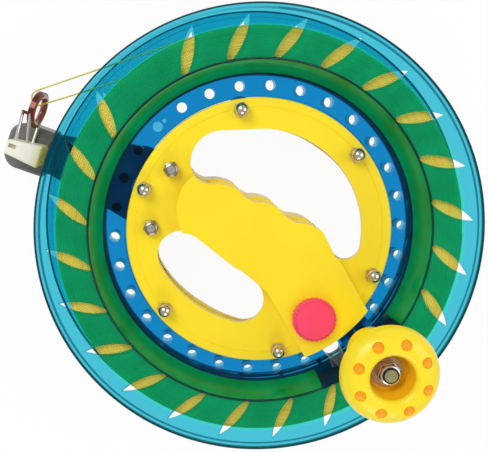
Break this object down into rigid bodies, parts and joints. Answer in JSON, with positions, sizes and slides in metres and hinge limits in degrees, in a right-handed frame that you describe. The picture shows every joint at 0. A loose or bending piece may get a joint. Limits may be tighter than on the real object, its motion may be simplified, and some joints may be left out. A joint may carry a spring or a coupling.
{
  "type": "kite line winder",
  "caption": "Wheel-type kite line winder: a see-through wheel turns on bearings round a fixed hand grip, with a turning knob, a sliding lock and a guide ring on an arm.",
  "frame": {"origin": "on the wheel's axis, in the plane on which the grip's back and the arm rest", "axes": "+Z along the wheel's axis, out of its front; +X to the right and +Y up in the picture"},
  "size_m": [0.2381, 0.22, 0.0941],
  "materials": {
    "yellow_plastic": "satin, evenly coloured ABS",
    "blue_clear_plastic": "glossy, tinted and see-through",
    "pink_plastic": "satin",
    "black_plastic": "fine grain",
    "cream_plastic": "satin",
    "ceramic": "glazed, red-brown",
    "line": "round twisted line",
    "steel": "zinc-plated",
    "chrome": "polished nickel",
    "bearing_steel": "ground and oiled"
  },
  "bodies": {
    "hub": {"front_hub_shell": "yellow_plastic", "rear_hub_shell": "yellow_plastic", "hub_screws": "steel", "acorn_nuts": "chrome", "bearing_inner_rings": "bearing_steel", "bearing_balls": "bearing_steel", "bearing_spacers": "steel", "guide_arm": "black_plastic", "arm_bolts": "steel", "arm_nuts": "steel", "guide_block": "cream_plastic", "block_studs": "steel", "guide_frame": "steel", "guide_ring": "ceramic", "free_line": "line"},
    "wheel": {"front_wheel_shell": "blue_clear_plastic", "rear_wheel_shell": "blue_clear_plastic", "line_core": "line", "line_turns": "line", "knob_bolt": "steel", "knob_lock_nut": "steel", "knob_washer": "steel", "knob_nut": "steel"},
    "knob": {"winding_knob": "yellow_plastic"},
    "lock": {"lock_slider": "pink_plastic", "lock_button": "pink_plastic", "lock_screw": "steel"},
    "bearing_1": {"bearing_outer_ring_1": "bearing_steel"},
    "bearing_2": {"bearing_outer_ring_2": "bearing_steel"},
    "bearing_3": {"bearing_outer_ring_3": "bearing_steel"},
    "bearing_4": {"bearing_outer_ring_4": "bearing_steel"},
    "bearing_5": {"bearing_outer_ring_5": "bearing_steel"},
    "bearing_6": {"bearing_outer_ring_6": "bearing_steel"}
  },
  "joints": [
    {"name": "wheel_spin", "type": "hinge", "parent": "hub", "child": "wheel", "pos_m": [0, 0, 0.029], "axis": [0, 0, 1], "continuous": true},
    {"name": "bearing_1_spin", "type": "hinge", "parent": "hub", "child": "bearing_1", "pos_m": [0.04741, 0.03839, 0.029], "axis": [0, 0, 1], "continuous": true},
    {"name": "bearing_2_spin", "type": "hinge", "parent": "hub", "child": "bearing_2", "pos_m": [-0.00954, 0.06025, 0.029], "axis": [0, 0, 1], "continuous": true},
    {"name": "bearing_3_spin", "type": "hinge", "parent": "hub", "child": "bearing_3", "pos_m": [-0.05695, 0.02186, 0.029], "axis": [0, 0, 1], "continuous": true},
    {"name": "bearing_4_spin", "type": "hinge", "parent": "hub", "child": "bearing_4", "pos_m": [-0.04741, -0.03839, 0.029], "axis": [0, 0, 1], "continuous": true},
    {"name": "bearing_5_spin", "type": "hinge", "parent": "hub", "child": "bearing_5", "pos_m": [0.00954, -0.06025, 0.029], "axis": [0, 0, 1], "continuous": true},
    {"name": "bearing_6_spin", "type": "hinge", "parent": "hub", "child": "bearing_6", "pos_m": [0.05695, -0.02186, 0.029], "axis": [0, 0, 1], "continuous": true},
    {"name": "knob_spin", "type": "hinge", "parent": "wheel", "child": "knob", "pos_m": [0.05462, -0.05776, 0.029], "axis": [0, 0, 1], "continuous": true},
    {"name": "lock_slide", "type": "slide", "parent": "hub", "child": "lock", "axis": [0.5299, -0.848, 0], "range_m": [0, 0.004]}
  ],
  "couplings": [
    {"joint": "bearing_1_spin", "follows": "wheel_spin", "ratio": 10.4},
    {"joint": "bearing_2_spin", "follows": "wheel_spin", "ratio": 10.4},
    {"joint": "bearing_3_spin", "follows": "wheel_spin", "ratio": 10.4},
    {"joint": "bearing_4_spin", "follows": "wheel_spin", "ratio": 10.4},
    {"joint": "bearing_5_spin", "follows": "wheel_spin", "ratio": 10.4},
    {"joint": "bearing_6_spin", "follows": "wheel_spin", "ratio": 10.4}
  ]
}
